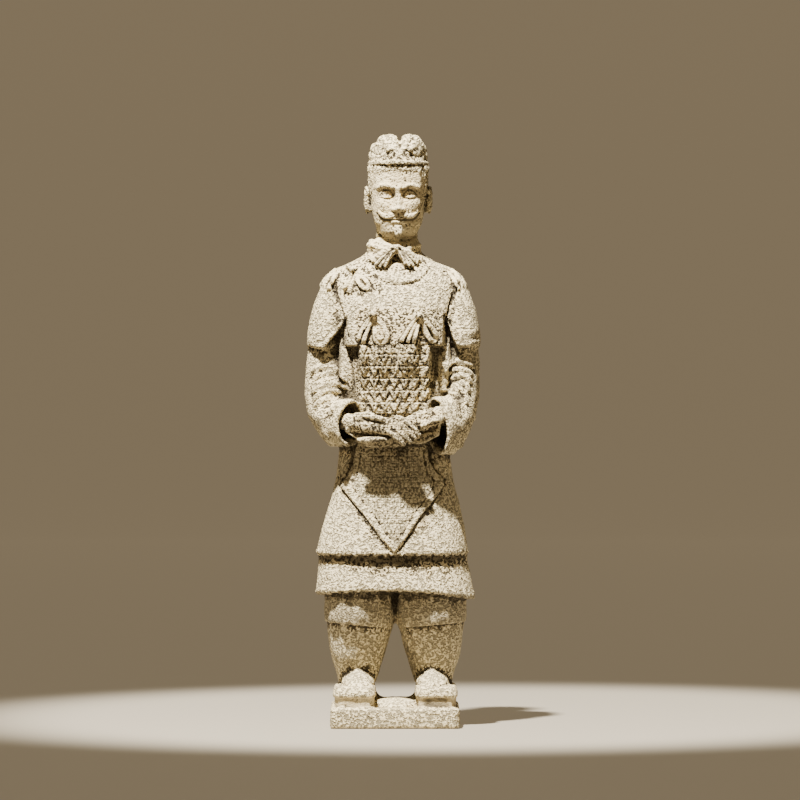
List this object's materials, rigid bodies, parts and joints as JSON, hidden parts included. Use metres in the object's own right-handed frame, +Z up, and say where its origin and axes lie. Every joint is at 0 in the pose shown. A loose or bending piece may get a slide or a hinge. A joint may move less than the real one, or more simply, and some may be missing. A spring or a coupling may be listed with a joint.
{
  "type": "ancient warrior statue replica",
  "caption": "Small cast stone replica of an ancient armoured officer standing with hands crossed, in one piece with its low rectangular plinth.",
  "frame": {"origin": "middle of the plinth's flat underside", "axes": "+Z up, along the figure; -Y the way the figure faces; +X the figure's left"},
  "size_m": [0.1434, 0.1173, 0.4799],
  "materials": {
    "sandstone": "coarse sand-textured cast sandstone, cream, with dark wash in the pits"
  },
  "bodies": {
    "root": {"warrior_statue": "sandstone"}
  },
  "joints": []
}
